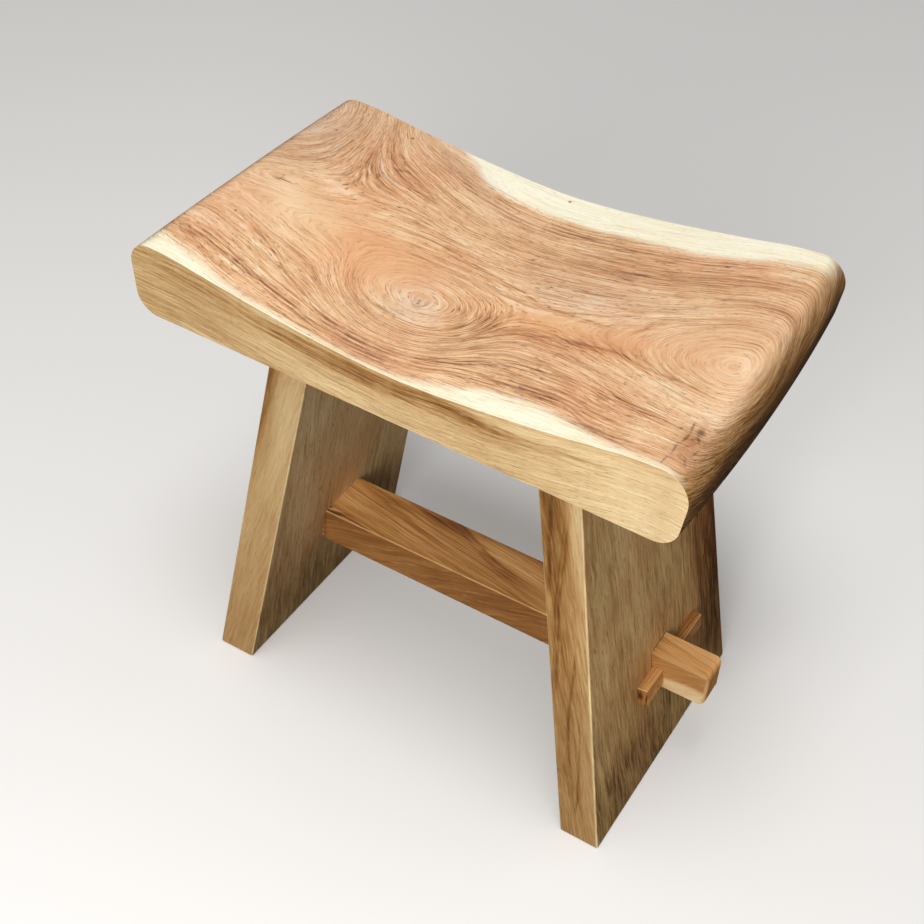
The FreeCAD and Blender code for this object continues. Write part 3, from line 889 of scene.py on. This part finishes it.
# A planed rail: golden brown flame figure, paler at the tenons, partly from paler wood and partly from
# painted light, and broken wood where a corner chipped
stretcherLook = {
    "name": "oiledAcaciaStretcher",
    "wobble": ((50, 2), (8, 0.5)),
    "pith": (90, 60, 0.1, 0.1, 1),
    "tone": 0.53,
    # The first two hills make the tenons paler: partly paler wood, partly painted light
    "toneHills": [(230, 0, 50, 60, 0, 4, -0.28), (-230, 0, 50, 60, 0, 4, -0.28),
                  (60, 0, 70, 40, 0, 1, -0.06),
                  (-134, 4, 20, 18, 20, 1, -0.14),
                  (-60, 20, 45, 5, 0, 1, 0.15)],
    "calm": [(230, 0, 50, 60, 0, 4, -0.3), (-230, 0, 50, 60, 0, 4, -0.3)],
    "heart": goldenBrown,
    "drift": "#f0d4cc",
    "driftShare": 0.3,
    "faces": [{
        "normal": (0, 1, 0), "turn": (0.6, 0.9), "first": "along", "tone": 0.69, "contrast": 0.45,
        "pores": 1,
        "ramp": [(0, "#f6e0b4"), (0.3, "#dab685"), (0.5, "#b48049"), (0.7, "#8f5f31"),
                 (0.85, "#69421d"), (1, "#482910")],
        "toneHills": [(230, 97, 48, 11, 0, 3, -0.32), (-230, 97, 48, 11, 0, 3, -0.32),
                      # These two hills pale the tenons' fronts: partly paler wood, partly painted light
                      (230, 110, 50, 40, 0, 4, -0.19), (-230, 110, 50, 40, 0, 4, -0.19)],
    }, {
        "normal": (1, 0, 0), "turn": (0.5, 0.95), "first": "side", "ramp": goldenBrown, "tone": 0.44,
        "contrast": 0.8,
        "pores": 1,
    }],
    "streaks": [{"points": [(-60, 27), (-30, 22), (0, 8), (30, -2), (60, -8)], "fade": 25,
                 "strands": ((0, 4.5, 0.16), (2.5, 1.4, 0.18), (-4, 1.2, 0.12))}],
    "tints": [("#e9c795", "MIX", [(-139, -21.5, 9, 1.3, 8, 1, 0.6)])],
    "knotAndShadeColour": "#4a2d16",
    "knotsAndShadeLines": [
        (-135, -24.4, 11, 1.7, 7, 1, 1),
        (-145.5, -20, 4, 1.9, 0, 1, 0.9),
        (-126, -20, 10, 0.8, 10, 1, 0.6),
        (-146.5, -23.5, 1.8, 4, 0, 1, 0.8),
        (3, -16, 2.6, 1, -25, 1, 0.5),
        (-105, 13, 5, 0.8, 25, 1, 0.5),
    ],
    "layers": fineLayers,
    "marks": fineMarks,
    "wearAcross": (0, 1, 0),
    "wearAndHighlightColour": "#d9ad76",
    "roughness": 0.5,
}
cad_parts["stretcher"].material_slots[0].material = woodMaterial(stretcherLook)
print("stretcher given its wood")

# Keys are cut along the grain, and the end that the mallet strikes is torn and dark
keyLevel = 105
keyWood = woodMaterial({
    "name": "oiledAcaciaKeys",
    "knotAndShadeColour": "#2e1c0c",
    "knotsAndShadeLines": [(44, 188, 3, 3, 0, 1, 0.9, 4.5), (44, -188, 3, 3, 0, 1, 0.9, 4.5),
              (44, 194, 2, 1.2, 0, 1, 0.8, 7), (44, -194, 2, 1.2, 0, 1, 0.8, 7)],
    "board": {"Rotation": (0, 0, math.pi / 2), "Location": (0, 0, -keyLevel)},
    "wobble": ((30, 1.5), (8, 0.5)),
    "pith": (-40, 90 - keyLevel, 0.05, 0.02, 1),
    "tone": 0.28,
    "toneHills": [(-62, 0, 40, 400, 0, 1, 0.4)],
    "faces": [{
        "normal": (0, 1, 0), "turn": (0.6, 0.95), "first": "side", "ramp": goldenBrown, "tone": 0.62,
        "contrast": 0.9,
        "pores": 1,
    }],
    "heart": goldenBrown,
    "drift": "#f0d4cc",
    "driftShare": 0.3,
    "layers": fineLayers,
    "marks": fineMarks,
    "wearAcross": (0, 0, 1),
    "wearAndHighlightColour": "#ecc68e",
    "roughness": 0.55,
})
for keyName in ("left_key", "right_key"):
    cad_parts[keyName].material_slots[0].material = keyWood
print("keys given their wood")


# Floor, light and camera

stage = {
    "floorHalfSize": 4000,
    "floorColour": "#f1efec",
    "floorShade": "#3c3a38",  # what the floor throws back on the stool's underside
    "lamps": {
        "overheadLamp": {"place": (100, -500, 2400), "size": 900, "power": 15},
        "frontLamp": {"place": (500, -1900, 1250), "size": 1100, "power": 36},
    },
    "fill": 0.44,
    "backdrop": 0.9,
}
camera = {
    "azimuth": 29.657,  # turned from straight in front towards the right end
    "elevation": 42.435,
    "roll": 2.823,
    "distance": 1362.6,
    "target": (-45.99, 46.34, 183.78),
    "focalPixels": 1515.516,
    "imagePixels": 924,
    "sensorWidth": 36,
}


def makeFloor():
    half = stage["floorHalfSize"] * mm
    corners = [(-half, -half, 0), (half, -half, 0), (half, half, 0), (-half, half, 0)]
    mesh = bpy.data.meshes.new("floor")
    mesh.from_pydata(corners, [], [(0, 1, 2, 3)])
    floor = bpy.data.objects.new("floor", mesh)
    bpy.context.scene.collection.objects.link(floor)
    material = bpy.data.materials.new("paleFloor")
    material.use_nodes = True
    tree = material.node_tree
    tree.nodes.clear()
    isCamera = addNode(tree, "ShaderNodeLightPath").node.outputs["Is Camera Ray"]
    seen = addNode(tree, "ShaderNodeBsdfDiffuse", {"Color": linear(stage["floorColour"])})
    unseen = addNode(tree, "ShaderNodeBsdfDiffuse", {"Color": linear(stage["floorShade"])})
    surface = addNode(tree, "ShaderNodeMixShader", (isCamera, unseen, seen))
    addNode(tree, "ShaderNodeOutputMaterial", (surface,))
    mesh.materials.append(material)


def makeLights():
    for name, lamp in stage["lamps"].items():
        light = bpy.data.lights.new(name, "AREA")
        light.shape = "DISK"
        light.size = lamp["size"] * mm
        light.energy = lamp["power"]
        holder = bpy.data.objects.new(name, light)
        bpy.context.scene.collection.objects.link(holder)
        place = Vector(lamp["place"]) * mm
        aim = Vector((0, 0, seatUnderside * mm)) - place
        turned = aim.to_track_quat("-Z", "Y").to_matrix().to_4x4()
        holder.matrix_world = Matrix.Translation(place) @ turned
    world = bpy.data.worlds.new("softWorld")
    bpy.context.scene.world = world
    world.use_nodes = True
    tree = world.node_tree
    tree.nodes.clear()
    isCamera = addNode(tree, "ShaderNodeLightPath").node.outputs["Is Camera Ray"]
    strength = addNode(tree, "ShaderNodeMapRange", (isCamera, 0, 1, stage["fill"], stage["backdrop"]))
    background = addNode(tree, "ShaderNodeBackground", {"Color": (1, 1, 1, 1), "Strength": strength})
    addNode(tree, "ShaderNodeOutputWorld", (background,))


def makeCamera():
    turn = math.radians(camera["azimuth"])
    tip = math.radians(camera["elevation"])
    roll = math.radians(camera["roll"])
    back = Vector((math.sin(turn) * math.cos(tip), -math.cos(turn) * math.cos(tip), math.sin(tip)))
    right = Vector((math.cos(turn), math.sin(turn), 0))
    up = back.cross(right)
    rolledRight = right * math.cos(roll) + up * math.sin(roll)
    rolledUp = up * math.cos(roll) - right * math.sin(roll)
    data = bpy.data.cameras.new("photoCamera")
    data.sensor_width = camera["sensorWidth"]
    data.lens = camera["focalPixels"] / camera["imagePixels"] * camera["sensorWidth"]
    viewer = bpy.data.objects.new("photoCamera", data)
    bpy.context.scene.collection.objects.link(viewer)
    place = (Vector(camera["target"]) + back * camera["distance"]) * mm
    turned = Matrix((rolledRight, rolledUp, back)).transposed().to_4x4()
    viewer.matrix_world = Matrix.Translation(place) @ turned
    bpy.context.scene.camera = viewer


makeFloor()
makeLights()
makeCamera()
bpy.context.scene.view_settings.view_transform = "Standard"
print("floor, light and camera set")
